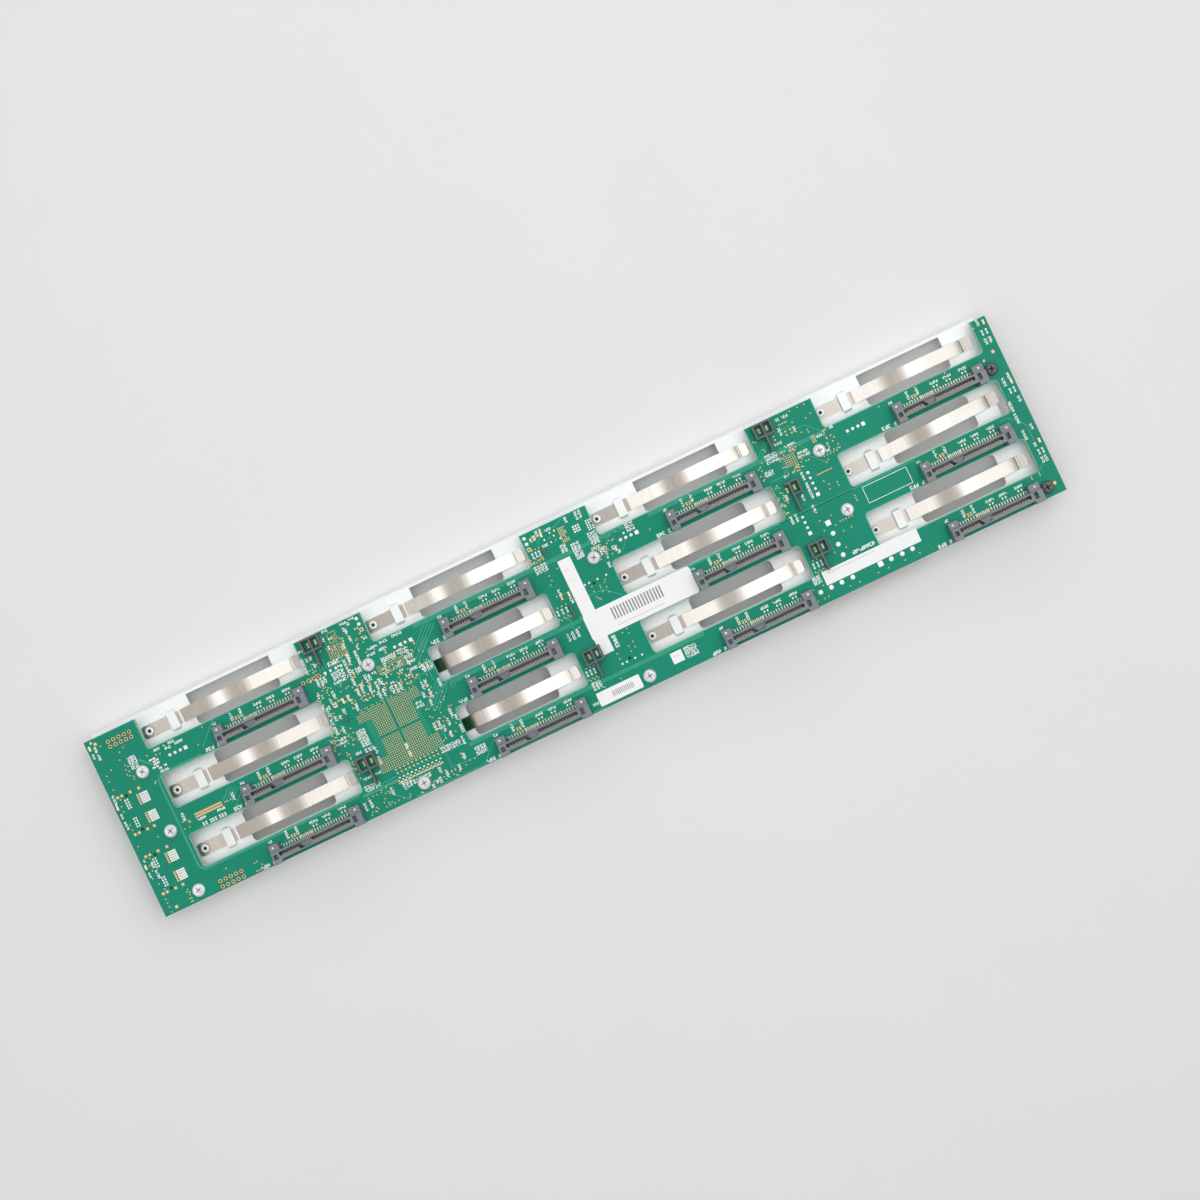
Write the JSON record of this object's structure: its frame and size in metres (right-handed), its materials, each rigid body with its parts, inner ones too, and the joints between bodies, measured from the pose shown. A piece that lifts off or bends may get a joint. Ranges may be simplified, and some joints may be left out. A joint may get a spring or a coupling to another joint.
{
  "type": "drive backplane board",
  "caption": "Long windowed circuit board with drive sockets in a grid, screwed on standoffs to a flanged steel plate whose riveted leaf springs arch up through the windows.",
  "frame": {"origin": "under the middle of the part, on the surface that the plate's flanges rest on", "axes": "+X along the board, +Y across it towards the edge that the plate passes, +Z out of the socket side"},
  "size_m": [0.43, 0.0856, 0.0303],
  "materials": {
    "board": "green solder mask over glass laminate, semi-gloss",
    "zinc_sheet": "bright zinc-plated sheet, satin",
    "rivet_metal": "plated, satin",
    "standoff_metal": "plated, satin",
    "screw_bright": "zinc plated, semi-bright",
    "screw_dark": "black oxide, satin",
    "spring_steel": "polished stainless strip",
    "socket_plastic": "moulded, fine matt",
    "contact_metal": "gold flash over tinned tails",
    "shield_plastic": "moulded, matt",
    "lamp_lens": "clear resin over phosphor",
    "label_paper": "matt white",
    "power_plastic": "natural nylon",
    "data_plastic": "moulded black",
    "chip_body": "moulded resin, satin"
  },
  "bodies": {
    "root": {"circuit_board": "board", "back_plate": "zinc_sheet", "spring_rivets": "rivet_metal", "plate_standoffs": "standoff_metal", "board_screws": "screw_bright", "corner_screws": "screw_dark", "leaf_spring_c1_r1": "spring_steel", "drive_socket_c1_r1": "socket_plastic", "socket_contacts_c1_r1": "contact_metal", "leaf_spring_c1_r2": "spring_steel", "drive_socket_c1_r2": "socket_plastic", "socket_contacts_c1_r2": "contact_metal", "leaf_spring_c1_r3": "spring_steel", "drive_socket_c1_r3": "socket_plastic", "socket_contacts_c1_r3": "contact_metal", "leaf_spring_c2_r1": "spring_steel", "drive_socket_c2_r1": "socket_plastic", "socket_contacts_c2_r1": "contact_metal", "leaf_spring_c2_r2": "spring_steel", "drive_socket_c2_r2": "socket_plastic", "socket_contacts_c2_r2": "contact_metal", "leaf_spring_c2_r3": "spring_steel", "drive_socket_c2_r3": "socket_plastic", "socket_contacts_c2_r3": "contact_metal", "leaf_spring_c3_r1": "spring_steel", "drive_socket_c3_r1": "socket_plastic", "socket_contacts_c3_r1": "contact_metal", "leaf_spring_c3_r2": "spring_steel", "drive_socket_c3_r2": "socket_plastic", "socket_contacts_c3_r2": "contact_metal", "leaf_spring_c3_r3": "spring_steel", "drive_socket_c3_r3": "socket_plastic", "socket_contacts_c3_r3": "contact_metal", "leaf_spring_c4_r1": "spring_steel", "drive_socket_c4_r1": "socket_plastic", "socket_contacts_c4_r1": "contact_metal", "leaf_spring_c4_r2": "spring_steel", "drive_socket_c4_r2": "socket_plastic", "socket_contacts_c4_r2": "contact_metal", "leaf_spring_c4_r3": "spring_steel", "drive_socket_c4_r3": "socket_plastic", "socket_contacts_c4_r3": "contact_metal", "light_shield_c1_r1": "shield_plastic", "light_shield_c1_r3": "shield_plastic", "light_shield_c2_r3": "shield_plastic", "light_shield_c3_r1": "shield_plastic", "light_shield_c3_r3": "shield_plastic", "light_shield_c3_r2": "shield_plastic", "shield_stubs": "shield_plastic", "status_lamps": "lamp_lens", "centre_label": "label_paper", "lower_label": "label_paper", "power_socket_left": "power_plastic", "power_socket_right": "power_plastic", "power_socket_side": "power_plastic", "data_socket_upper": "data_plastic", "data_socket_lower": "data_plastic", "signal_headers": "power_plastic", "switch_chip": "chip_body"}
  },
  "joints": []
}
